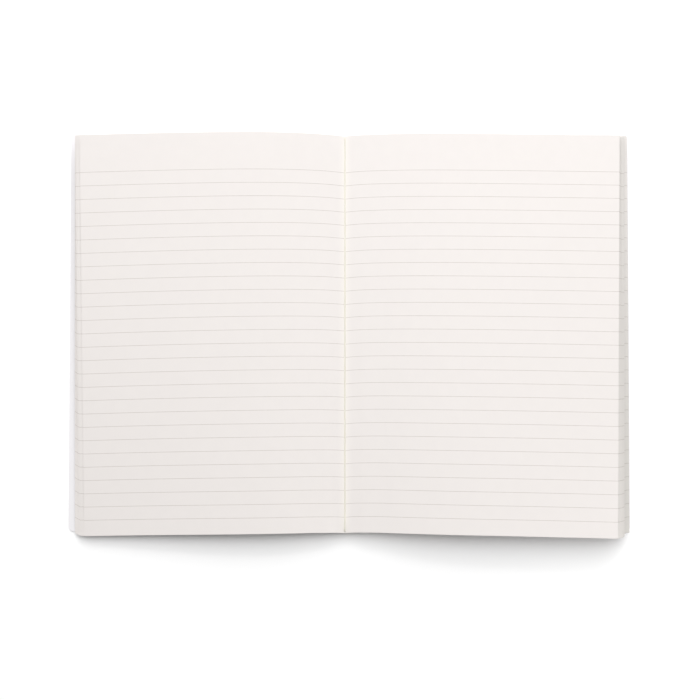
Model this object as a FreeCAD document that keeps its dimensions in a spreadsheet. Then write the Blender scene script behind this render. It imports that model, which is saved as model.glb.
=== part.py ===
import FreeCAD, Part
import os

import Sketcher

# An open soft-cover notebook, lying on its cover with the pages up.
# Millimetres. X runs from the front cover, on the left, to the back cover, Y from the tail
# of the book to its head, and Z up. The origin is the middle of the spine strip's underside.

DRIVING_SIZES = {
    # The cover: one card creased into a front cover, a spine strip and a back cover.
    "card_thickness": 0.4,
    "cover_width": 145.0,
    "cover_height": 211.6,
    "cover_corner_radius": 2.5,
    "spine_width": 8.0,
    # The binding: a strip of adhesive between the card and the backs of the leaves.
    "glue_thickness": 0.6,
    "glue_inset": 0.2,
    # The leaves, as one block that is parted at the gutter.
    "leaf_height": 209.8,
    "head_margin": 2.0,
    "cover_clearance": 0.3,
    "crease_bend": 1.0,
    # The gutter lies off the middle of the spine, and this far over the adhesive at each end.
    "gutter_offset": -2.3,
    "gutter_head_fill": 2.3,
    "gutter_tail_fill": 0.4,
    # The leaves rise from the gutter in a tight bend, and then run out in a long one.
    "bend_reach": 1.5,
    "shoulder_reach": 13.0,
    "crown_reach": 45.0,
    "flank_reach": 95.0,
    # Heights of the uppermost leaf's control points over the table, left half then right half.
    # The left half stands higher at the head, and the right half at the tail.
    "left_head_bend": 3.8,
    "left_head_shoulder": 6.3,
    "left_head_crown": 11.4,
    "left_head_flank": 11.2,
    "left_head_edge": 12.1,
    "left_tail_bend": 5.0,
    "left_tail_shoulder": 6.0,
    "left_tail_crown": 10.1,
    "left_tail_flank": 6.4,
    "left_tail_edge": 3.4,
    "right_head_bend": 3.9,
    "right_head_shoulder": 4.2,
    "right_head_crown": 7.1,
    "right_head_flank": 6.5,
    "right_head_edge": 8.3,
    "right_tail_bend": 5.0,
    "right_tail_shoulder": 5.6,
    "right_tail_crown": 12.0,
    "right_tail_flank": 12.9,
    "right_tail_edge": 13.8,
    # The fanned fore edges: how far short of the cover's edge the uppermost leaf ends.
    "left_head_fan": 8.8,
    "left_tail_fan": 9.4,
    "right_head_fan": 7.0,
    "right_tail_fan": 11.1,
    # The lowest leaf ends at the fan's foot, and springs a little off the cover there.
    "left_head_foot": 3.6,
    "left_tail_foot": 3.8,
    "right_head_foot": 1.0,
    "right_tail_foot": 1.6,
    "left_head_lift": 3.6,
    "left_tail_lift": 0.5,
    "right_head_lift": 2.0,
    "right_tail_lift": 3.5,
    # Between its top and its foot the fan breaks at a brow, short of the cover's edge and so high.
    "left_head_brow": 5.9,
    "left_tail_brow": 6.4,
    "right_head_brow": 5.6,
    "right_tail_brow": 8.4,
    "left_head_brow_height": 10.6,
    "left_tail_brow_height": 2.5,
    "right_head_brow_height": 5.1,
    "right_tail_brow_height": 12.0,
    # The right half's leaves lie in two groups, with a step between them at the fore edge.
    "right_head_step": 3.3,
    "right_tail_step": 6.1,
    "right_head_step_height": 4.6,
    "right_tail_step_height": 9.0,
    "step_ledge": 0.5,
    "step_drop": 1.2,
    # Each half's fore edge hangs a little towards the tail, in degrees.
    "left_sag": 0.68,
    "right_sag": 0.27,
}

# Sizes that follow from the driving ones.
DERIVED_SIZES = {
    "cover_head": "=cover_height / 2",
    "cover_tail": "=-cover_height / 2",
    "crease_place": "=spine_width / 2",
    "glue_edge": "=crease_place - glue_inset",
    "glue_top": "=card_thickness + glue_thickness",
    "gutter_head_floor": "=glue_top + gutter_head_fill",
    "gutter_tail_floor": "=glue_top + gutter_tail_fill",
    "leaf_underside": "=card_thickness + cover_clearance",
    "head_place": "=cover_height / 2 - head_margin",
    "tail_place": "=head_place - leaf_height",
    "cover_reach": "=crease_place + cover_width",
    "left_root": "=crease_place + gutter_offset",
    "right_root": "=crease_place - gutter_offset",
    "left_reach": "=cover_reach + gutter_offset",
    "right_reach": "=cover_reach - gutter_offset",
}

# The leaf's curve is a cubic whose control points all pull alike.
CURVE_DEGREE = 3
CONTROL_WEIGHT = 1.0


def make_sheet(doc):
    """Write the sizes into a spreadsheet: a name, its value and the alias that others bind to."""
    sheet = doc.addObject("Spreadsheet::Sheet", "Sizes")
    for row, (name, value) in enumerate({**DRIVING_SIZES, **DERIVED_SIZES}.items(), start=1):
        sheet.set(f"A{row}", name)
        sheet.set(f"B{row}", str(value))
        sheet.setAlias(f"B{row}", name)
    return sheet


def total(sheet, *names):
    """The sum of some named sizes, as a number and as the formula that binds to them.

    A name with a minus sign before it is taken away. No names at all give zero.
    """
    number = 0.0
    formula = ""
    for name in names:
        sign = "-" if name.startswith("-") else "+"
        size = name.lstrip("-")
        number += -sheet.get(size) if sign == "-" else sheet.get(size)
        if formula or sign == "-":
            formula += f" {sign} "
        formula += f"Sizes.{size}"
    return number, formula


def mirrored(length, side):
    """A length to the right of the middle, or the same one to the left where side is -1."""
    number, formula = length
    if side < 0 and formula:
        formula = f"-({formula})"
    return side * number, formula


def origin_plane(body, role):
    return next(item for item in body.Origin.OriginFeatures if item.Role == role)


def new_sketch(body, name, role):
    sketch = body.newObject("Sketcher::SketchObject", name)
    sketch.AttachmentSupport = [(origin_plane(body, role), "")]
    sketch.MapMode = "FlatFace"
    return sketch


def flat_point(across, up):
    return FreeCAD.Vector(across[0], up[0], 0)


def pin_point(sketch, geometry, place, across, up):
    """Hold one point of a sketch at two named lengths, measured from the sketch's origin."""
    for kind, (number, formula) in (("DistanceX", across), ("DistanceY", up)):
        row = sketch.addConstraint(Sketcher.Constraint(kind, -1, 1, geometry, place, number))
        if formula:
            sketch.setExpression(f"Constraints[{row}]", formula)


def join_loop(sketch, edges):
    """Close a loop of edges, each one's end on the next one's start."""
    for here, there in zip(edges, edges[1:] + edges[:1]):
        sketch.addConstraint(Sketcher.Constraint("Coincident", here, 2, there, 1))


def add_lines(sketch, points):
    """Straight edges from each point to the next."""
    edges = []
    for start, end in zip(points, points[1:]):
        edges.append(sketch.addGeometry(Part.LineSegment(flat_point(*start), flat_point(*end)), False))
    return edges


def add_rectangle(sketch, near, far, tail, head):
    """An upright rectangle between two lengths across and two along the book."""
    corners = [(near, tail), (far, tail), (far, head), (near, head)]
    edges = add_lines(sketch, corners + corners[:1])
    join_loop(sketch, edges)
    pin_point(sketch, edges[0], 1, near, tail)
    pin_point(sketch, edges[2], 1, far, head)
    for edge, kind in zip(edges, ("Horizontal", "Vertical", "Horizontal", "Vertical")):
        sketch.addConstraint(Sketcher.Constraint(kind, edge))


def add_pad(body, sketch, name, thickness):
    pad = body.newObject("PartDesign::Pad", name)
    pad.Profile = sketch
    pad.setExpression("Length", f"Sizes.{thickness}")
    return pad


def make_cover(doc, sheet, label, side):
    """One cover board: a sheet of card from its crease to the fore edge, with two round corners.

    side is -1 for the left of the open book and 1 for the right.
    """
    body = doc.addObject("PartDesign::Body", label)
    body.Label = label
    near = mirrored(total(sheet, "crease_place"), side)
    far = mirrored(total(sheet, "cover_reach"), side)
    sketch = new_sketch(body, label + "_outline", "XY_Plane")
    add_rectangle(sketch, near, far, total(sheet, "cover_tail"), total(sheet, "cover_head"))
    pad = add_pad(body, sketch, label + "_card", "card_thickness")
    doc.recompute()
    upright = []
    for number, edge in enumerate(pad.Shape.Edges, start=1):
        on_fore_edge = abs(edge.CenterOfMass.x - far[0]) < sheet.card_thickness
        if on_fore_edge and abs(edge.Length - sheet.card_thickness) < sheet.card_thickness / 10:
            upright.append(f"Edge{number}")
    corners_round = body.newObject("PartDesign::Fillet", label + "_corners")
    corners_round.Base = (pad, upright)
    corners_round.setExpression("Radius", "Sizes.cover_corner_radius")
    body.Tip = corners_round
    return body


def make_strip(doc, sheet, label, edge, tail, head, thickness):
    """A plain strip that runs up the spine, on the floor of its sketch."""
    body = doc.addObject("PartDesign::Body", label)
    body.Label = label
    sketch = new_sketch(body, label + "_outline", "XY_Plane")
    near, far = (mirrored(total(sheet, edge), side) for side in (-1, 1))
    add_rectangle(sketch, near, far, total(sheet, tail), total(sheet, head))
    body.Tip = add_pad(body, sketch, label + "_strip", thickness)
    return body


def make_spine(doc, sheet):
    """The strip of the cover's card between its two creases."""
    return make_strip(doc, sheet, "spine", "crease_place", "cover_tail", "cover_head", "card_thickness")


def make_spine_glue(doc, sheet):
    """The adhesive that lies on the spine's card, under the backs of the leaves."""
    body = make_strip(doc, sheet, "spine_glue", "glue_edge", "tail_place", "head_place", "glue_thickness")
    sketch = doc.getObject("spine_glue_outline")
    sketch.setExpression("AttachmentOffset.Base.z", "Sizes.card_thickness")
    return body


def add_leaf_curve(sketch, controls):
    """The uppermost leaf's curve through its control points, which are held at their lengths."""
    upwards = FreeCAD.Vector(0, 0, 1)
    circles = []
    for across, up in controls:
        pole = Part.Circle(flat_point(across, up), upwards, CONTROL_WEIGHT)
        circles.append(sketch.addGeometry(pole, True))
    sketch.addConstraint(Sketcher.Constraint("Weight", circles[0], CONTROL_WEIGHT))
    for circle in circles[1:]:
        sketch.addConstraint(Sketcher.Constraint("Equal", circles[0], circle))
    places = [flat_point(across, up) for across, up in controls]
    spline = Part.BSplineCurve(places, None, None, False, CURVE_DEGREE, None, False)
    curve = sketch.addGeometry(spline, False)
    for number, circle in enumerate(circles):
        sketch.addConstraint(Sketcher.Constraint(
            "InternalAlignment:Sketcher::BSplineControlPoint", circle, 3, curve, number))
    return curve, circles


def leaf_profile(body, sheet, half, end, side):
    """The section of one half of the leaves, at the head or at the tail of the book.

    Measured across from the gutter and up from the table: the uppermost leaf's curve, the fanned
    fore edge, the flat underside over the cover and the glued backs at the spine.
    """
    name = f"{half}_{end}"
    reach, root = f"{half}_reach", f"{half}_root"

    def point(across, up):
        return mirrored(total(sheet, *across), side), total(sheet, *up)

    gutter = point([], [f"gutter_{end}_floor"])
    top_of_fan = point([reach, f"-{name}_fan"], [f"{name}_edge"])
    controls = [gutter]
    for place in ("bend", "shoulder", "crown", "flank"):
        controls.append(point([f"{place}_reach"], [f"{name}_{place}"]))
    controls.append(top_of_fan)

    # Down the fan, back under the leaves and up the glued backs to the gutter.
    outline = [top_of_fan, point([reach, f"-{name}_brow"], [f"{name}_brow_height"])]
    if half == "right":
        step = [reach, f"-{name}_step"], [f"{name}_step_height"]
        outline.append(point(*step))
        outline.append(point(step[0] + ["step_ledge"], step[1] + ["-step_drop"]))
    outline += [
        point([reach, f"-{name}_foot"], ["leaf_underside", f"{name}_lift"]),
        point([root, "crease_bend"], ["leaf_underside"]),
        point([root], ["glue_top"]),
        point([], ["glue_top"]),
        gutter,
    ]

    sketch = new_sketch(body, name + "_profile", "XZ_Plane")
    curve, circles = add_leaf_curve(sketch, controls)
    lines = add_lines(sketch, outline)
    join_loop(sketch, [curve] + lines)
    for circle, control in zip(circles, controls):
        pin_point(sketch, circle, 3, *control)
    for line, corner in zip(lines[:-1], outline[1:-1]):
        pin_point(sketch, line, 2, *corner)

    # The sketch stands at the gutter, at its end of the book, turned by the half's sag.
    sag = FreeCAD.Rotation(FreeCAD.Vector(0, 1, 0), sheet.get(f"{half}_sag"))
    sketch.AttachmentOffset = FreeCAD.Placement(FreeCAD.Vector(), sag)
    sketch.setExpression("AttachmentOffset.Base.x", "Sizes.gutter_offset")
    sketch.setExpression("AttachmentOffset.Base.z", f"-Sizes.{end}_place")
    turn = "-" if side > 0 else ""
    sketch.setExpression("AttachmentOffset.Rotation.Angle", f"{turn}Sizes.{half}_sag")
    return sketch


def make_pages(doc, sheet):
    """All the leaves as one block: two halves, each lofted from its head to its tail."""
    body = doc.addObject("PartDesign::Body", "pages")
    body.Label = "pages"
    for half, side in (("left", -1), ("right", 1)):
        head = leaf_profile(body, sheet, half, "head", side)
        tail = leaf_profile(body, sheet, half, "tail", side)
        doc.recompute()
        loft = body.newObject("PartDesign::AdditiveLoft", half + "_leaves")
        loft.Profile = head
        loft.Sections = [tail]
        loft.Ruled = True
        doc.recompute()
        body.Tip = loft
    return body


def check_and_export(doc, bodies):
    """Stop on any failed object or solid, then write one file for each piece."""
    doc.recompute()
    for item in doc.Objects:
        if "Invalid" in item.State or "Error" in item.State:
            raise RuntimeError(f"{item.Name} failed: {item.State}")
    for body in bodies:
        shape = body.Shape
        if shape.isNull() or not shape.isValid() or len(shape.Solids) != 1:
            raise RuntimeError(f"{body.Label} is not one valid solid")
        box = shape.BoundBox
        print(f"{body.Label}: {shape.Volume / 1000:.2f} cm3, x {box.XMin:.2f} to {box.XMax:.2f}, "
              f"y {box.YMin:.2f} to {box.YMax:.2f}, z {box.ZMin:.2f} to {box.ZMax:.2f}")
    os.makedirs("parts", exist_ok=True)
    for body in bodies:
        body.Shape.exportStep(f"parts/{body.Label}.step")


def main():
    doc = FreeCAD.newDocument("open_notebook")
    sheet = make_sheet(doc)
    doc.recompute()
    bodies = [
        make_cover(doc, sheet, "front_cover", -1),
        make_spine(doc, sheet),
        make_cover(doc, sheet, "back_cover", 1),
        make_spine_glue(doc, sheet),
        make_pages(doc, sheet),
    ]
    check_and_export(doc, bodies)


main()
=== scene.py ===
import math

import bpy
import numpy as np
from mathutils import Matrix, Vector
from mathutils.bvhtree import BVHTree


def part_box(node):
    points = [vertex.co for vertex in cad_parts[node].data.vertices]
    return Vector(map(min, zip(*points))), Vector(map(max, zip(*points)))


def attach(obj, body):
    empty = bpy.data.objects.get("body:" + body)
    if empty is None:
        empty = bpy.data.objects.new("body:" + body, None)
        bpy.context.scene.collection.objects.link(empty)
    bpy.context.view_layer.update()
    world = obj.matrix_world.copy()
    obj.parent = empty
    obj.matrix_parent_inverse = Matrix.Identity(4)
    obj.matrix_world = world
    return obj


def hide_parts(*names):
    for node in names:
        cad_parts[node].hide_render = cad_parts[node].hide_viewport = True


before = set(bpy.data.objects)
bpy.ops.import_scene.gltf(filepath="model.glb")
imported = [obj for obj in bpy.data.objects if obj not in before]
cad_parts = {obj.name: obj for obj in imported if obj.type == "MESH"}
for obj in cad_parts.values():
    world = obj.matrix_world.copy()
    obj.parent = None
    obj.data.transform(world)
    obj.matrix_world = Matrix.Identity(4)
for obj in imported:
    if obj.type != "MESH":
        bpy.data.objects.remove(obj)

bl_info = {
    "name": "Open ruled notebook",
    "version": (1, 0, 0),
    "blender": (4, 5, 0),
    "location": "3D View > Sidebar > Notebook",
    "description": "Dresses an open soft-cover notebook: its leaves, ruling, cover card and binding",
    "category": "Object",
}

MM = 0.001
BLOCK = "book_block"
LEFT, RIGHT = -1, 1
SHARP = math.radians(40)        # an edge that turns more than this is drawn as an edge

# Blender's names for the shader nodes in use, and the sockets of a Mix node that mixes colours.
BUMP, MATH, MIX, NOISE = "ShaderNodeBump", "ShaderNodeMath", "ShaderNodeMix", "ShaderNodeTexNoise"
RANGE, SPLIT, UV_MAP = "ShaderNodeMapRange", "ShaderNodeSeparateXYZ", "ShaderNodeUVMap"
TEXTURE_SPACE = "ShaderNodeTexCoord"
FACTOR, FIRST, SECOND, MIXED = 0, 6, 7, 2


def linear(hex_colour):
    """An sRGB hex colour, such as F4EFEA, as linear red, green and blue."""
    parts = [int(hex_colour[i:i + 2], 16) / 255 for i in (0, 2, 4)]
    return tuple(c / 12.92 if c <= 0.04045 else ((c + 0.055) / 1.055) ** 2.4 for c in parts)


def length_property(name, description, default_mm):
    return bpy.props.FloatProperty(
        name=name, description=description, default=default_mm * MM, subtype="DISTANCE",
        unit="LENGTH", precision=5)


def colour_property(name, description, hex_colour):
    return bpy.props.FloatVectorProperty(
        name=name, description=description, default=linear(hex_colour), size=3,
        subtype="COLOR", min=0.0, max=1.0)


def angle_property(name, description, degrees):
    return bpy.props.FloatProperty(
        name=name, description=description, default=math.radians(degrees), subtype="ANGLE",
        unit="ROTATION")


def power_property(name, description, watts):
    return bpy.props.FloatProperty(
        name=name, description=description, default=watts, subtype="POWER", unit="POWER", min=0.0)


class NotebookLeafSettings(bpy.types.PropertyGroup):
    """The leaves: how many there are, how they fan out and how they are ruled."""
    leaves_left: bpy.props.IntProperty(
        name="Leaves on the left", description="Leaves turned over to the left", default=24, min=2)
    leaves_right: bpy.props.IntProperty(
        name="Leaves on the right", description="Leaves still to turn", default=56, min=4)
    upper_group: bpy.props.FloatProperty(
        name="Upper group", description="Share of the right-hand leaves above the step in the fore edge",
        default=0.58, subtype="FACTOR", min=0.1, max=0.9)
    thickness: length_property("Leaf thickness", "Thickness of one leaf", 0.1)
    left_head_fan: length_property("Left fan at the head", "Top leaf's edge to the cover's edge", 8.8)
    left_tail_fan: length_property("Left fan at the tail", "Top leaf's edge to the cover's edge", 9.4)
    right_head_fan: length_property("Right fan at the head", "Top leaf's edge to the cover's edge", 7.0)
    right_tail_fan: length_property("Right fan at the tail", "Top leaf's edge to the cover's edge", 11.1)
    left_head_foot: length_property("Left foot at the head", "Lowest leaf's edge to the cover's edge", 3.6)
    left_tail_foot: length_property("Left foot at the tail", "Lowest leaf's edge to the cover's edge", 3.8)
    right_head_foot: length_property("Right foot at the head", "Lowest leaf's edge to the cover's edge", 1.0)
    right_tail_foot: length_property("Right foot at the tail", "Lowest leaf's edge to the cover's edge", 1.6)
    right_head_step: length_property("Step at the head", "Step in the right fan to the cover's edge", 3.3)
    right_tail_step: length_property("Step at the tail", "Step in the right fan to the cover's edge", 6.1)
    step_ledge: length_property("Step ledge", "How far the lower group stands out at the step", 0.5)
    # Painted shade: these grey the exposed fore-edge margins of the leaves below the top one, standing in
    # for the shade the fan's leaves cast on one another.
    left_handling: bpy.props.FloatProperty(
        name="Left handling", description="Greying of the left leaves' exposed margins",
        default=0.035, subtype="FACTOR", min=0.0, max=1.0)
    right_handling: bpy.props.FloatProperty(
        name="Right handling", description="Greying of the right leaves' exposed margins",
        default=0.2, subtype="FACTOR", min=0.0, max=1.0)
    # Painted shade: more of it towards the tail on the lower right leaves, offsetting the reflector's light
    # on the fan.
    tail_fan_shade: bpy.props.FloatProperty(
        name="Tail handling", description="How much more the lower right leaves grey towards the tail",
        default=0.9, subtype="FACTOR", min=0.0, max=2.0)
    # Width of the painted shade on each margin.
    fan_shade_width: length_property("Handling width", "Width of the greyed margin", 2.5)
    spring: length_property("Spring", "How far the top leaf's edge stands clear of the next", 0.6)
    left_ease: bpy.props.FloatProperty(
        name="Left ease", description="How much less the lowest left leaf drops than the uppermost",
        default=0.45, subtype="FACTOR", min=0.0, max=1.0)
    skew_start: length_property("Skew start", "Distance from the gutter over which a leaf skews up", 8.0)
    left_rise: length_property("Left skew up", "How far the left leaves skew towards the head", 0.85)
    right_rise: length_property("Right skew up", "How far the right leaves skew towards the head", 1.05)
    left_drop: length_property("Left skew down", "How far the left fore edge drops to the tail", 2.87)
    right_drop: length_property("Right skew down", "How far the right fore edge drops to the tail", 1.95)
    group_slip: length_property("Lower group slip", "Lower right leaves' slip towards the head", 1.2)
    cockle: length_property("Cockle", "Depth of the slow waves in the paper", 0.06)
    rule_pitch: length_property("Rule pitch", "Distance from one ruled line to the next", 7.0)
    rule_first: length_property("First rule", "First ruled line's distance from the head", 19.45)
    rule_count: bpy.props.IntProperty(name="Rules", description="Ruled lines on a page", default=27, min=1)
    rule_width: length_property("Rule width", "Width of a printed line", 0.26)
    paper: colour_property("Paper", "Uncoated warm white paper", "E3DEDB")
    ink: colour_property("Rule ink", "What the grey-brown ink lets through", "DDDAD7")
    # The colour of the painted shade on the fan's margins.
    fan_shade_colour: colour_property("Grime", "What handling leaves on the margins", "626C5E")
    # Painted light: a lighter, warmer paper beside the gutter, standing in for light bounced between the
    # facing leaves in the crease.
    gutter_painted_light: colour_property("Gutter paper", "Paper by the glued backs, never handled", "E8E3DE")
    gutter_light_width: length_property("Gutter width", "Width of the unhandled paper beside the gutter", 4.0)


class NotebookCoverSettings(bpy.types.PropertyGroup):
    """The card cover and the adhesive that holds the leaves to it."""
    card: colour_property("Card", "Smooth white card with a cool cast", "E9E7E9")
    glue: colour_property("Glue", "Set binding adhesive, pale yellow", "EEE8D8")
    bead_width: length_property("Glue bead", "Width of the adhesive that shows in the gutter", 0.8)
    bead_lip: length_property("Glue bead lip", "How far the adhesive creeps up the leaves", 0.1)
    bead_height: length_property("Glue bead height", "How far the bead bulges over its lip", 0.2)


class NotebookStageSettings(bpy.types.PropertyGroup):
    """Floor, light and camera."""
    floor: colour_property("Floor", "Plain white table", "FEFEFE")
    camera_height: length_property("Camera height", "Camera above the table", 400.0)
    camera_x: length_property("Camera across", "Camera to the right of the spine", 0.4)
    camera_y: length_property("Camera along", "Camera towards the head from the middle", -17.0)
    camera_pitch: angle_property("Camera pitch", "Tilt of the view towards the head", 1.063)
    lens: bpy.props.FloatProperty(
        name="Lens", description="Focal length on a 36 mm wide sensor", default=38.565, min=10.0)
    key_power: power_property("Key light", "Power of the large soft box over the head", 48.6)
    key_width: length_property("Key width", "Soft box from left to right", 3000.0)
    key_depth: length_property("Key depth", "Soft box from its low edge to its high one", 1700.0)
    key_elevation: angle_property("Key elevation", "Height over the table", 53.0)
    low_power: power_property("Low light", "Power of the low soft box beyond the head", 26.6)
    low_width: length_property("Low light width", "Soft box from left to right", 1600.0)
    low_depth: length_property("Low light depth", "Soft box from its low edge to its high one", 1000.0)
    low_elevation: angle_property("Low light elevation", "Height over the table", 22.0)
    light_distance: length_property("Light distance", "Soft boxes to the notebook", 2000.0)
    card_power: power_property("Reflector", "Light that a small white card throws back", 0.1065)
    card_width: length_property("Reflector width", "Small card beyond the lower right corner", 120.0)
    card_height: length_property("Reflector height", "From the card's lower edge to its upper", 40.0)
    card_x: length_property("Reflector across", "To the right of the spine", 230.0)
    card_y: length_property("Reflector along", "Towards the head from the middle", -185.0)
    card_aim_x: length_property("Reflector aim across", "Where it points, from the spine", 120.0)
    card_aim_y: length_property("Reflector aim along", "Where it points, from the middle", -112.0)
    ambient: bpy.props.FloatProperty(
        name="Ambient", description="Strength of the even light from the room", default=0.277, min=0.0)


def add_node(tree, kind, inputs=None, output=None, **settings):
    """Add one shader node. An input is a value, or a socket to link from.

    Returns the node, or the socket of the output that is asked for.
    """
    node = tree.nodes.new(kind)
    for name, value in settings.items():
        setattr(node, name, value)
    for key, value in (inputs or {}).items():
        if isinstance(value, bpy.types.NodeSocket):
            tree.links.new(value, node.inputs[key])
        else:
            node.inputs[key].default_value = value
    return node if output is None else node.outputs[output]


def new_material(name):
    """An empty node material with its surface shader and output in place."""
    material = bpy.data.materials.new(name)
    material.use_nodes = True
    tree = material.node_tree
    tree.nodes.clear()
    shader = add_node(tree, "ShaderNodeBsdfPrincipled")
    add_node(tree, "ShaderNodeOutputMaterial", {"Surface": shader.outputs[0]})
    return material, tree, shader


def rgba(colour, share=1.0):
    """A colour with its alpha, darkened to a share of its light."""
    return (*(c * share for c in colour), 1.0)


def uncoated_paper(settings):
    """Uncoated, machine-made paper, ruled by offset printing.

    It scatters light evenly with no gloss. The eye sees a faint cloudiness from the fibres, a
    slight tooth in raking light, and thin lines whose ink sinks in unevenly. Real fibres are
    finer than 0.25 mm, which is drawn because it is about the least that shows.
    """
    ink_grain, fibre_cloud, fibre, fibre_lump = 1.5 * MM, 6 * MM, 0.25 * MM, 1.2 * MM
    tooth_depth = 0.02 * MM
    material, tree, shader = new_material("uncoated_ruled_paper")
    solid = add_node(tree, TEXTURE_SPACE, output="Object")
    flat = add_node(tree, UV_MAP, output=0, uv_map="flat_leaf")
    from_gutter, from_head = add_node(tree, SPLIT, {0: flat}).outputs[:2]
    margin = add_node(tree, UV_MAP, output=0, uv_map="margin")
    from_edge, fan_shade = add_node(tree, SPLIT, {0: margin}).outputs[:2]

    # Fibre cloudiness, and painted light: lighter, warmer paper beside the gutter, standing in for light
    # bounced between the two facing leaves.
    cloud = add_node(tree, NOISE, {"Vector": solid, "Scale": 1 / fibre_cloud, "Detail": 4.0}, "Fac")
    cloud = add_node(tree, RANGE, {"Value": cloud, "From Min": 0.35, "From Max": 0.65}, 0)
    body = add_node(tree, MIX, {FACTOR: cloud, FIRST: rgba(settings.paper),
                                SECOND: rgba(settings.paper, 0.99)}, MIXED, data_type="RGBA")
    near = add_node(tree, RANGE, {"Value": from_gutter, "From Max": settings.gutter_light_width,
                                  "To Min": 1.0, "To Max": 0.0}, 0, interpolation_type="SMOOTHSTEP")
    body = add_node(tree, MIX, {FACTOR: near, FIRST: body, SECOND: rgba(settings.gutter_painted_light)},
                    MIXED, data_type="RGBA")

    # Painted shade greys what shows of the leaves below, at their fore edges, where the leaves of the fan
    # shade one another.
    grey = add_node(tree, RANGE, {"Value": from_edge, "From Max": settings.fan_shade_width,
                                  "To Min": 1.0, "To Max": 0.0}, 0, interpolation_type="SMOOTHSTEP")
    grey = add_node(tree, MATH, {0: grey, 1: fan_shade}, 0, operation="MULTIPLY")
    body = add_node(tree, MIX, {FACTOR: grey, FIRST: body, SECOND: rgba(settings.fan_shade_colour)},
                    MIXED, data_type="RGBA")

    # The distance to the nearest ruled line, measured on the flat leaf.
    steps = add_node(tree, MATH, {0: from_head, 1: settings.rule_first}, 0, operation="SUBTRACT")
    steps = add_node(tree, MATH, {0: steps, 1: settings.rule_pitch}, 0, operation="DIVIDE")
    nearest = add_node(tree, MATH, {0: steps}, 0, operation="ROUND")
    nearest = add_node(tree, MATH, {0: nearest, 1: 0.0}, 0, operation="MAXIMUM")
    nearest = add_node(tree, MATH, {0: nearest, 1: settings.rule_count - 1.0}, 0, operation="MINIMUM")
    away = add_node(tree, MATH, {0: steps, 1: nearest}, 0, operation="SUBTRACT")
    away = add_node(tree, MATH, {0: away}, 0, operation="ABSOLUTE")
    away = add_node(tree, MATH, {0: away, 1: settings.rule_pitch}, 0, operation="MULTIPLY")

    # The line has soft edges, and its ink takes a little more on some fibres than on others.
    half, feather = settings.rule_width / 2, 0.3
    line = add_node(tree, RANGE, {"Value": away, "From Min": half * (1 + feather),
                                  "From Max": half * (1 - feather)}, 0, interpolation_type="SMOOTHSTEP")
    density = add_node(tree, NOISE, {"Vector": solid, "Scale": 1 / ink_grain, "Detail": 2.0}, "Fac")
    density = add_node(tree, RANGE, {"Value": density, "From Min": 0.3, "From Max": 0.7,
                                     "To Min": 0.8, "To Max": 1.0}, 0)
    line = add_node(tree, MATH, {0: line, 1: density}, 0, operation="MULTIPLY")
    colour = add_node(tree, MIX, {FACTOR: line, FIRST: body, SECOND: rgba(settings.ink)},
                      MIXED, data_type="RGBA", blend_type="MULTIPLY")
    tree.links.new(colour, shader.inputs["Base Color"])

    # The tooth of the surface: fibres, on the lumps that they felt together into.
    fine = add_node(tree, NOISE, {"Vector": solid, "Scale": 1 / fibre, "Detail": 3.0}, "Fac")
    coarse = add_node(tree, NOISE, {"Vector": solid, "Scale": 1 / fibre_lump, "Detail": 2.0}, "Fac")
    tooth = add_node(tree, MATH, {0: fine, 1: coarse}, 0, operation="ADD")
    bump = add_node(tree, BUMP, {"Height": tooth, "Strength": 0.25, "Distance": tooth_depth}, 0)
    tree.links.new(bump, shader.inputs["Normal"])
    shader.inputs["Roughness"].default_value = 0.92
    shader.inputs["Specular IOR Level"].default_value = 0.25
    return material


def smooth_card(settings):
    """Bleached board, calendered smooth on both sides.

    It is whiter and cooler than the leaves, with a soft low sheen and hardly any grain. Its
    fibres, pressed flat, are finer than the 0.4 mm at which they are drawn so that they show.
    """
    fibre_cloud, fibre = 9 * MM, 0.4 * MM
    grain_depth = 0.02 * MM
    material, tree, shader = new_material("calendered_white_card")
    solid = add_node(tree, TEXTURE_SPACE, output="Object")
    cloud = add_node(tree, NOISE, {"Vector": solid, "Scale": 1 / fibre_cloud, "Detail": 3.0}, "Fac")
    colour = add_node(tree, MIX, {FACTOR: cloud, FIRST: rgba(settings.card),
                                  SECOND: rgba(settings.card, 0.975)}, MIXED, data_type="RGBA")
    tree.links.new(colour, shader.inputs["Base Color"])
    grain = add_node(tree, NOISE, {"Vector": solid, "Scale": 1 / fibre, "Detail": 3.0}, "Fac")
    bump = add_node(tree, BUMP, {"Height": grain, "Strength": 0.12, "Distance": grain_depth}, 0)
    tree.links.new(bump, shader.inputs["Normal"])
    rough = add_node(tree, RANGE, {"Value": cloud, "To Min": 0.5, "To Max": 0.62}, 0)
    tree.links.new(rough, shader.inputs["Roughness"])
    shader.inputs["Specular IOR Level"].default_value = 0.4
    return material


def set_adhesive(settings):
    """Cold-set binding glue, spread by brush and dried pale yellow.

    It is a little waxy and uneven, with ripples from the brush.
    """
    ripple_size, ripple_depth = 1 * MM, 0.1 * MM
    material, tree, shader = new_material("dried_binding_glue")
    solid = add_node(tree, TEXTURE_SPACE, output="Object")
    ripple = add_node(tree, NOISE, {"Vector": solid, "Scale": 1 / ripple_size, "Detail": 2.0}, "Fac")
    colour = add_node(tree, MIX, {FACTOR: ripple, FIRST: rgba(settings.glue),
                                  SECOND: rgba(settings.glue, 0.9)}, MIXED, data_type="RGBA")
    tree.links.new(colour, shader.inputs["Base Color"])
    bump = add_node(tree, BUMP, {"Height": ripple, "Strength": 0.4, "Distance": ripple_depth}, 0)
    tree.links.new(bump, shader.inputs["Normal"])
    shader.inputs["Roughness"].default_value = 0.45
    shader.inputs["Subsurface Weight"].default_value = 0.1
    return material


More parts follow.
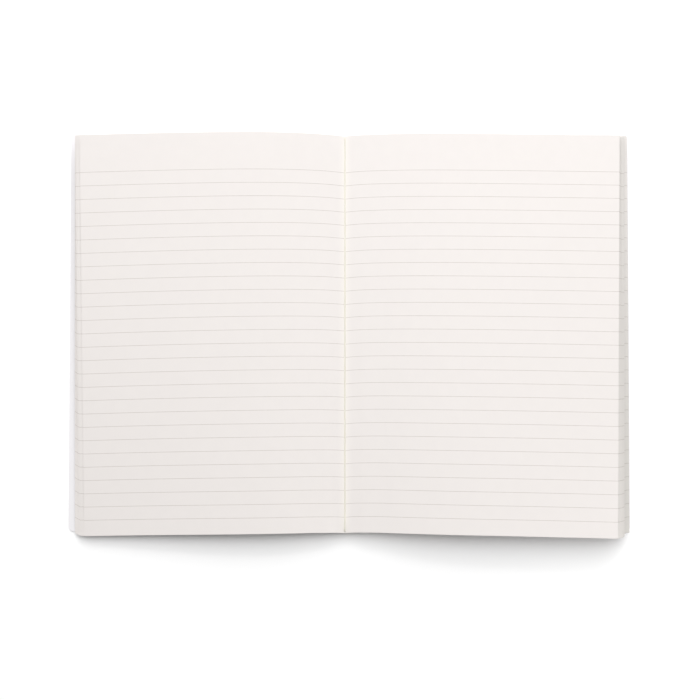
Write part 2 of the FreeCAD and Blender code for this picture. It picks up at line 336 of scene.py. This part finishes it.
def enamelled_table(settings):
    """White enamel, sprayed on board and rubbed matt.

    The eye sees an even white, with the faintest unevenness over about a hand's breadth.
    """
    spray_cloud = 120 * MM
    material, tree, shader = new_material("matt_white_enamel")
    solid = add_node(tree, TEXTURE_SPACE, output="Object")
    cloud = add_node(tree, NOISE, {"Vector": solid, "Scale": 1 / spray_cloud, "Detail": 2.0}, "Fac")
    colour = add_node(tree, MIX, {FACTOR: cloud, FIRST: rgba(settings.floor),
                                  SECOND: rgba(settings.floor, 0.995)}, MIXED, data_type="RGBA")
    tree.links.new(colour, shader.inputs["Base Color"])
    shader.inputs["Roughness"].default_value = 0.95
    shader.inputs["Specular IOR Level"].default_value = 0.1
    return material


def smooth_step(x):
    """An easy rise from 0 to 1 while x goes from 0 to 1."""
    x = np.clip(x, 0.0, 1.0)
    return x * x * (3 - 2 * x)


def natural_spline(knots, values):
    """The natural cubic spline through these points, as a function of an array."""
    knots, values = np.asarray(knots, float), np.asarray(values, float)
    gap = np.diff(knots)
    count = len(knots)
    system = np.eye(count)
    right = np.zeros(count)
    for i in range(1, count - 1):
        system[i, i - 1:i + 2] = gap[i - 1], 2 * (gap[i - 1] + gap[i]), gap[i]
        right[i] = 6 * ((values[i + 1] - values[i]) / gap[i] - (values[i] - values[i - 1]) / gap[i - 1])
    bend = np.linalg.solve(system, right)

    def curve(x):
        i = np.clip(np.searchsorted(knots, x) - 1, 0, count - 2)
        a, b = knots[i + 1] - x, x - knots[i]
        return ((bend[i] * a ** 3 + bend[i + 1] * b ** 3) / (6 * gap[i])
                + (values[i] / gap[i] - bend[i] * gap[i] / 6) * a
                + (values[i + 1] / gap[i] - bend[i + 1] * gap[i] / 6) * b)
    return curve


class Block:
    """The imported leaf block, read as heights over the table.

    The solid's gutter is an open valley. The real leaves close over it from BEND on each side,
    leaving only a shallow DIP, and part a little again along FLARE at the tail, by PART of the
    valley's depth.
    """
    BEND = 4 * MM
    DIP = 0.2 * MM
    FLARE = 2 * MM
    PART = 0.15
    ABOVE = 1000 * MM       # a height well over the block
    READINGS = 321          # across the spine, to find the gutter

    def __init__(self):
        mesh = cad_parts["pages"].data
        self.tree = BVHTree.FromPolygons([v.co.copy() for v in mesh.vertices],
                                         [tuple(p.vertices) for p in mesh.polygons])
        glue_low, glue_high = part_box("spine_glue")
        self.head, self.tail, self.floor = glue_high.y, glue_low.y, glue_high.z
        middle = (self.head + self.tail) / 2
        spine_left, spine_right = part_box("spine")
        across = np.linspace(spine_left.x, spine_right.x, self.READINGS)[1:-1]
        self.gutter = float(across[int(np.argmin([self.top(x, middle) for x in across]))])

    def crest(self, side, y):
        """The leaves' height beside the gutter, where their tight bend ends."""
        return self.top(self.gutter + side * self.BEND, y)

    def mouth(self, y):
        """The height at which the two top leaves close over the narrow gutter."""
        return min(self.crest(LEFT, y), self.crest(RIGHT, y)) - self.DIP

    def opening(self, y):
        """The share of the valley's depth by which the leaves part near the tail."""
        return self.PART * (1 - smooth_step((y - self.tail) / self.FLARE))

    def top(self, x, y):
        """The height of the solid's upper face."""
        return self.tree.ray_cast(Vector((x, y, self.ABOVE)), Vector((0, 0, -1)))[0].z

    def underside(self, x, y):
        """The height of the solid's lower face."""
        return self.tree.ray_cast(Vector((x, y, -self.ABOVE)), Vector((0, 0, 1)))[0].z


class Row:
    """One half's leaves where they cross a line from the gutter to the fore edge.

    last and foot are the uppermost and the lowest leaf's edges, as distances out. A step holds
    the distances at which the upper group of leaves ends and the lower one begins, and the share
    of the leaves that are in the upper group.

    The uppermost leaf's curve is read at KNOTS, closer together where it bends more, as parts of
    its length. The underside and the fan are read at even distances. All stay WITHIN the solid.
    """
    KNOTS = (0.0, 0.012, 0.03, 0.06, 0.11, 0.19, 0.3, 0.43, 0.57, 0.71, 0.85, 1.0)
    WITHIN = 0.1 * MM
    UNDERSIDE_READINGS = 24
    FAN_READINGS = 120
    STEP_SHARE = 0.01       # the share of the leaves over which the fan passes its step

    def __init__(self, block, side, y, last, foot, step=None):
        def x(out):
            return block.gutter + side * out

        self.last, self.foot = last, foot
        within = self.WITHIN
        knots = [k * (last - within) for k in self.KNOTS]
        tops = [block.top(x(max(k, within)), y) for k in knots]
        mouth, crest = block.mouth(y), block.crest(side, y)
        tops = [max(t, mouth + (crest - mouth) * smooth_step(k / block.BEND)) if k < block.BEND else t
                for k, t in zip(knots, tops)]
        self.valley = mouth - block.top(block.gutter, y)
        self.upper = natural_spline(knots, tops)
        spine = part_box("spine")
        self.root = abs((spine[0] if side == LEFT else spine[1]).x - block.gutter)
        self.lower_knots = np.linspace(self.root + within, foot - within, self.UNDERSIDE_READINGS)
        self.lower = [block.underside(x(s), y) for s in self.lower_knots]
        self.fan_knots = np.linspace(last, foot - within, self.FAN_READINGS)
        self.fan = np.minimum.accumulate([block.top(x(s), y) for s in self.fan_knots])
        places, shares = [last, foot], [0.0, 1.0]
        if step:
            places[1:1] = step[:2]
            shares[1:1] = [step[2], step[2] + self.STEP_SHARE]
        self.shares = shares
        self.heights = np.interp(places, self.fan_knots, self.fan)

    def leaf(self, share, along, spring):
        """Distance out and height of a leaf at these shares of its own length.

        The leaves of a group lie evenly in height, so each one ends where the fan's face is that
        high. From half way out, each leaf passes from its even place in the pile to that height.
        The uppermost leaf springs clear of the rest at its edge.
        """
        upper = self.upper(along * self.last)
        lower = np.interp(self.root + along * (self.foot - self.root), self.lower_knots, self.lower)
        edge_height = float(np.interp(share, self.shares, self.heights))
        if share > 0:
            edge_height -= spring * (1 - share)
        edge_share = (upper[-1] - edge_height) / (upper[-1] - lower[-1])
        place = share + (edge_share - share) * smooth_step((along - 0.5) * 2)
        edge = float(np.interp(-edge_height, -self.fan, self.fan_knots))
        root = self.root * share
        return root + along * (edge - root), upper + (lower - upper) * place


class Half:
    """The left or right half of the open block of leaves.

    A leaf's share is its place in the pile, from 0 for the uppermost to 1 for the lowest. Along
    goes from 0 at the leaf's bend to 1 at its fore edge, and down from the head to the tail.
    """
    INSET = 5 * MM          # how far in from the head and the tail the solid is read
    NEAR = 0.12             # the part of a leaf by the gutter that has a third of its columns
    BACK = 3                # columns of each leaf between the adhesive and the leaf's bend
    STAND = 0.05 * MM       # the least height of that back edge
    HANG_POWER = 1.9        # how steeply a leaf's drop to the tail grows towards its fore edge
    WAVE_ACROSS = 9.5 * MM  # the cockles' waves, as lengths for one radian
    WAVE_ALONG = 23 * MM
    SLANT_ACROSS = 31 * MM
    SLANT_ALONG = 40 * MM
    WAVE_RISE = 40 * MM     # the distance from the gutter over which the cockles set in
    PART_WIDTH = 0.4        # the width of the parted gutter at the tail, as a share of the bend

    def __init__(self, block, settings, side):
        self.block, self.settings, self.side = block, settings, side
        name = "left" if side == LEFT else "right"
        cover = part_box("front_cover")[0].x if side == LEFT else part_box("back_cover")[1].x
        self.reach = reach = abs(cover - block.gutter)
        self.rise, self.drop = getattr(settings, name + "_rise"), getattr(settings, name + "_drop")
        self.ease = settings.left_ease if side == LEFT else 0.0
        # How much painted shade greys this half's fan.
        self.fan_shade = getattr(settings, name + "_handling")
        self.rows = []
        for end, y in (("head", block.head - self.INSET), ("tail", block.tail + self.INSET)):
            top_edge = reach - getattr(settings, f"{name}_{end}_fan")
            foot = reach - getattr(settings, f"{name}_{end}_foot")
            step = None
            if side == RIGHT:
                place = reach - getattr(settings, f"right_{end}_step")
                step = (place, place + settings.step_ledge, settings.upper_group)
            self.rows.append(Row(block, side, y, top_edge, foot, step))
        self.row_places = (self.INSET, block.head - block.tail - self.INSET)

    def skew(self, out, share, along):
        """How far a leaf shifts towards the head, at a distance out from the gutter."""
        settings = self.settings
        shift = self.rise * (1 - np.exp(-out / settings.skew_start))
        hang = self.drop * (1 - self.ease * share)
        shift = shift - hang * (out / self.reach) ** self.HANG_POWER
        if self.side == RIGHT and share > settings.upper_group:
            shift = shift + settings.group_slip * along ** 2
        return shift

    def cockles(self, out, down):
        """How deep the slow waves of the paper are, from 0 to 1, with none by the gutter."""
        slant = np.sin(out / self.WAVE_ACROSS + down / self.SLANT_ACROSS * self.side)
        wave = 0.5 + 0.5 * slant * np.sin(down / self.WAVE_ALONG + out / self.SLANT_ALONG)
        return wave * smooth_step(out / self.WAVE_RISE)

    def parting(self, out, down, mix):
        """How far the gutter's leaves sink where they part at the tail."""
        valley = self.rows[0].valley + (self.rows[1].valley - self.rows[0].valley) * mix
        width = self.PART_WIDTH * self.block.BEND
        return self.block.opening(self.block.head - down) * valley * np.exp(-(out / width) ** 2)

    def greying(self, share, down):
        """How much painted shade greys a leaf's margin: none on the uppermost leaf."""
        grey = self.fan_shade * (share > 0) + 0 * down
        # More painted shade towards the tail on the lower right group.
        if self.side == RIGHT and share > self.settings.upper_group:
            grey = grey * (1 + self.settings.tail_fan_shade * (down / down[-1] - 0.5))
        return grey

    def surface(self, share, columns, rows, slip=(0.0, 0.0)):
        """A leaf's upper face as a grid of points, each with its leaf coordinates.

        These are the distances from the bend and from the head on the flat leaf, the distance
        from its fore edge, and the painted shade on its margin.
        """
        settings = self.settings
        along = np.concatenate([np.linspace(0, self.NEAR, columns // 3, endpoint=False),
                                np.linspace(self.NEAR, 1, columns - columns // 3)])
        down = np.linspace(0, self.block.head - self.block.tail, rows)[:, None]
        near, far = (row.leaf(share, along, settings.spring) for row in self.rows)
        mix = (down - self.row_places[0]) / (self.row_places[1] - self.row_places[0])
        out = near[0] + (far[0] - near[0]) * mix
        height = near[1] + (far[1] - near[1]) * mix
        out = out + slip[0] * along
        height = height - settings.cockle * (1 - share) * self.cockles(out, down)
        height = height - (1 - share) * self.parting(out, down, mix)
        out, height, along = self.down_to_the_glue(out, height, along)
        shift = self.skew(out, share, along) + slip[1] * along
        points = np.stack([self.block.gutter + self.side * out,
                           self.block.head - down + shift, height], axis=-1)
        step = np.hypot(np.diff(out, axis=1), np.diff(height, axis=1))
        length = np.concatenate([np.zeros((rows, 1)), np.cumsum(step, axis=1)], axis=1)
        length = length - length[:, self.BACK:self.BACK + 1]
        return points, np.stack([length, np.broadcast_to(down, length.shape),
                                 length[:, -1:] - length,
                                 np.broadcast_to(self.greying(share, down), length.shape)], axis=-1)

    def down_to_the_glue(self, out, height, along):
        """The same grid with the leaf's back edge added, which stands upright in the adhesive."""
        bend_out, bend_height = out[:, :1], height[:, :1]
        depth = np.maximum(bend_height - self.block.floor, self.STAND)
        below = np.linspace(1, 0, self.BACK, endpoint=False)
        return (np.concatenate([bend_out + 0 * below, out], axis=1),
                np.concatenate([bend_height - depth * below, height], axis=1),
                np.concatenate([0 * below, along]))

    def leaf(self, share, columns, rows, slip=(0.0, 0.0)):
        """Points, faces and leaf coordinates of one leaf, its thickness square to the sheet."""
        upper, flat = self.surface(share, columns, rows, slip)
        rows, columns = upper.shape[:2]
        run, rise = np.gradient(upper[..., 0], axis=1), np.gradient(upper[..., 2], axis=1)
        size = np.hypot(run, rise) * self.side
        square = np.stack([-rise / size, 0 * run, run / size], axis=-1)
        lower = upper - self.settings.thickness * square
        points = np.concatenate([upper.reshape(-1, 3), lower.reshape(-1, 3)])
        flats = np.concatenate([flat.reshape(-1, 4)] * 2)
        index = np.arange(rows * columns).reshape(rows, columns)
        quads = np.stack([index[:-1, :-1], index[1:, :-1], index[1:, 1:], index[:-1, 1:]], axis=-1)
        quads = quads.reshape(-1, 4)
        rim = np.concatenate([index[0], index[1:, -1], index[-1, -2::-1], index[-2:0:-1, 0]])
        after = np.roll(rim, -1)
        other = rows * columns
        walls = np.stack([rim, after, after + other, rim + other], axis=-1)
        faces = np.concatenate([quads, quads[:, ::-1] + other, walls])
        if self.side == LEFT:
            faces = faces[:, ::-1]
        return points, faces, flats


def mesh_object(name, points, faces, flats=None):
    """A smooth-shaded mesh object from arrays, with a leaf's coordinates as two UV maps."""
    mesh = bpy.data.meshes.new(name)
    mesh.from_pydata([tuple(p) for p in points], [], [tuple(int(i) for i in f) for f in faces])
    mesh.validate()
    if flats is not None:
        corner = np.zeros(len(mesh.loops), int)
        mesh.loops.foreach_get("vertex_index", corner)
        for layer_name, columns in (("flat_leaf", slice(0, 2)), ("margin", slice(2, 4))):
            layer = mesh.uv_layers.new(name=layer_name)
            values = np.asarray(flats)[corner][:, columns]
            layer.data.foreach_set("uv", values.astype(np.float32).ravel())
    mesh.shade_smooth()
    mesh.set_sharp_from_angle(angle=SHARP)
    made = bpy.data.objects.new(name, mesh)
    bpy.context.scene.collection.objects.link(made)
    return made


def join_leaves(leaves):
    """Several leaves' arrays as one."""
    points, faces, flats, start = [], [], [], 0
    for leaf_points, leaf_faces, leaf_flats in leaves:
        points.append(leaf_points)
        faces.append(leaf_faces + start)
        flats.append(leaf_flats)
        start += len(leaf_points)
    return np.concatenate(points), np.concatenate(faces), np.concatenate(flats)


class NOTEBOOK_OT_leaves(bpy.types.Operator):
    """Make every leaf of both halves, each a thin sheet of its own, and the ruling on them"""
    bl_idname = "notebook.leaves"
    bl_label = "Leaves"

    TOP_GRID = (120, 56)            # columns and rows of points in a top leaf
    UNDER_GRID = (36, 7)            # and in a leaf below it, of which only the edges show
    SLIP_OUT = 0.1 * MM             # how unevenly the leaves below end at the fore edge
    SLIP_UP = 0.12 * MM             # and how far they slip towards the head there

    def execute(self, context):
        settings = context.scene.notebook_leaves
        block = Block()
        paper = uncoated_paper(settings)
        chance = np.random.default_rng(7)
        made = []
        for side, name, count in ((LEFT, "left", settings.leaves_left),
                                  (RIGHT, "right", settings.leaves_right)):
            half = Half(block, settings, side)
            top = mesh_object(f"top_leaf_{name}", *half.leaf(0.0, *self.TOP_GRID))
            under = []
            for number in range(1, count):
                slip = (chance.normal(0, self.SLIP_OUT), abs(chance.normal(0, self.SLIP_UP)))
                under.append(half.leaf(number / (count - 1), *self.UNDER_GRID, slip))
            pile = mesh_object(f"leaves_{name}", *join_leaves(under))
            made += [top, pile]
        for piece in made:
            piece.data.materials.append(paper)
            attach(piece, BLOCK)
        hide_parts("pages")
        return {"FINISHED"}


class NOTEBOOK_OT_cover(bpy.types.Operator):
    """Finish the card cover: front, spine strip and back"""
    bl_idname = "notebook.cover"
    bl_label = "Cover"

    def execute(self, context):
        card = smooth_card(context.scene.notebook_cover)
        for node in ("front_cover", "spine", "back_cover"):
            finish_node(node, card)
        return {"FINISHED"}


class NOTEBOOK_OT_binding(bpy.types.Operator):
    """Finish the spine's adhesive, and add what shows of it in the gutter"""
    bl_idname = "notebook.binding"
    bl_label = "Binding"

    def execute(self, context):
        settings = context.scene.notebook_cover
        glue = set_adhesive(settings)
        finish_node("spine_glue", glue)
        block = Block()
        bead = mesh_object("gutter_glue", *glue_bead(block, settings))
        bead.data.materials.append(glue)
        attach(bead, BLOCK)
        return {"FINISHED"}


def finish_node(node, material):
    """Give one of the solids that the frame brings its material."""
    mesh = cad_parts[node].data
    mesh.materials.clear()
    mesh.materials.append(material)


def running_mean(values, width):
    """The values smoothed over so many neighbours, and fewer by one less than that."""
    return np.convolve(values, np.ones(width) / width, "valid")


def glue_bead(block, settings):
    """A low, uneven ridge of glue along the gutter, between the two top leaves.

    It is a row of stations from tail to head. Each is a half round over the gutter's mouth, with
    one point more that reaches down into the adhesive on the spine.
    """
    chance = np.random.default_rng(3)
    stations, around = 160, 10
    end_gap = 1 * MM            # bare gutter at the head and at the tail
    root = 0.05 * MM            # how deep the bead is rooted in the adhesive below
    wander_by, wander_over = 0.1 * MM, 21       # sideways, smoothed over so many stations
    swell_by, swell_over = 0.4, 7               # a share of the bead's height
    wander = running_mean(chance.normal(0, 1, stations + wander_over - 1), wander_over)
    swell = 1 + swell_by * running_mean(chance.normal(0, 1, stations + swell_over - 1), swell_over)
    length = block.head - block.tail - 2 * end_gap
    points, faces = [], []
    for station in range(stations):
        y = block.tail + end_gap + length * station / (stations - 1)
        x = block.gutter + wander[station] * wander_by
        mouth, valley = block.mouth(y), block.top(block.gutter, y)
        base = mouth - block.opening(y) * (mouth - valley) + settings.bead_lip
        for step in range(around):
            turn = math.pi * step / (around - 1)
            points.append((x + settings.bead_width / 2 * math.cos(turn), y,
                           base + settings.bead_height * swell[station] * math.sin(turn)))
        points.append((x, y, block.floor - root))
    ring = around + 1
    for station in range(stations - 1):
        here, there = station * ring, (station + 1) * ring
        for step in range(ring):
            after = (step + 1) % ring
            faces.append((here + step, there + step, there + after, here + after))
    for start, order in ((0, 1), ((stations - 1) * ring, -1)):
        faces.append(tuple(range(start, start + ring))[::order])
    return np.array(points), faces


def soft_box(name, power, size, place, aim=(0.0, 0.0, 0.0)):
    """A rectangular light at a place, facing the point that it is aimed at."""
    lamp = bpy.data.lights.new(name, "AREA")
    lamp.shape = "RECTANGLE"
    lamp.size, lamp.size_y = size
    lamp.energy = power
    box = bpy.data.objects.new(name, lamp)
    box.location = place
    box.rotation_euler = (Vector(aim) - Vector(place)).to_track_quat("-Z", "Y").to_euler()
    box.visible_camera = False
    bpy.context.scene.collection.objects.link(box)


def beyond_the_head(distance, elevation):
    """A place beyond the notebook's head, this far off and this high an angle over the table."""
    return (0.0, distance * math.cos(elevation), distance * math.sin(elevation))


class NOTEBOOK_OT_stage(bpy.types.Operator):
    """Make the table, the soft light and the camera"""
    bl_idname = "notebook.stage"
    bl_label = "Stage"

    TABLE_HALF = 3000 * MM
    TABLE_GAP = 0.05 * MM           # the table lies this far below the cover, so that they don't touch
    REFLECTOR_LIFT = 0.75           # the reflector's middle over the table, as a share of its height

    def execute(self, context):
        scene = context.scene
        settings = scene.notebook_stage
        corners = [(x * self.TABLE_HALF, y * self.TABLE_HALF, -self.TABLE_GAP)
                   for x, y in ((-1, -1), (1, -1), (1, 1), (-1, 1))]
        floor = mesh_object("table_top", corners, [(0, 1, 2, 3)])
        floor.data.materials.append(enamelled_table(settings))

        distance = settings.light_distance
        soft_box("key_light", settings.key_power, (settings.key_width, settings.key_depth),
                 beyond_the_head(distance, settings.key_elevation))
        soft_box("low_light", settings.low_power, (settings.low_width, settings.low_depth),
                 beyond_the_head(distance, settings.low_elevation))
        soft_box("reflector", settings.card_power, (settings.card_width, settings.card_height),
                 (settings.card_x, settings.card_y, self.REFLECTOR_LIFT * settings.card_height),
                 (settings.card_aim_x, settings.card_aim_y, 0.0))

        world = bpy.data.worlds.new("room")
        world.use_nodes = True
        world.node_tree.nodes["Background"].inputs["Color"].default_value = (1, 1, 1, 1)
        world.node_tree.nodes["Background"].inputs["Strength"].default_value = settings.ambient
        scene.world = world

        camera = bpy.data.cameras.new("camera")
        camera.sensor_width = 36.0
        camera.lens = settings.lens
        camera.clip_start = 10 * MM
        view = bpy.data.objects.new("camera", camera)
        view.location = (settings.camera_x, settings.camera_y, settings.camera_height)
        view.rotation_euler = (settings.camera_pitch, 0, 0)
        scene.collection.objects.link(view)
        scene.camera = view
        scene.view_settings.view_transform = "Standard"
        scene.view_settings.look = "None"
        return {"FINISHED"}


class NOTEBOOK_PT_panel(bpy.types.Panel):
    """The notebook's pieces and their sizes"""
    bl_idname = "NOTEBOOK_PT_panel"
    bl_label = "Notebook"
    bl_space_type = "VIEW_3D"
    bl_region_type = "UI"
    bl_category = "Notebook"

    def draw(self, context):
        layout = self.layout
        for operator in OPERATORS:
            layout.operator(operator.bl_idname)
        for group in (context.scene.notebook_leaves, context.scene.notebook_cover,
                      context.scene.notebook_stage):
            box = layout.box()
            for name in group.bl_rna.properties.keys():
                if name not in ("rna_type", "name"):
                    box.prop(group, name)


OPERATORS = (NOTEBOOK_OT_leaves, NOTEBOOK_OT_cover, NOTEBOOK_OT_binding, NOTEBOOK_OT_stage)
SETTINGS = {
    "notebook_leaves": NotebookLeafSettings,
    "notebook_cover": NotebookCoverSettings,
    "notebook_stage": NotebookStageSettings,
}


def register():
    for name, group in SETTINGS.items():
        bpy.utils.register_class(group)
        setattr(bpy.types.Scene, name, bpy.props.PointerProperty(type=group))
    for item in (*OPERATORS, NOTEBOOK_PT_panel):
        bpy.utils.register_class(item)


def unregister():
    for item in (NOTEBOOK_PT_panel, *reversed(OPERATORS)):
        bpy.utils.unregister_class(item)
    for name, group in reversed(SETTINGS.items()):
        delattr(bpy.types.Scene, name)
        bpy.utils.unregister_class(group)


def main():
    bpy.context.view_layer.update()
    register()
    bpy.ops.notebook.leaves()
    bpy.ops.notebook.cover()
    bpy.ops.notebook.binding()
    bpy.ops.notebook.stage()


if __name__ == "__main__":
    main()
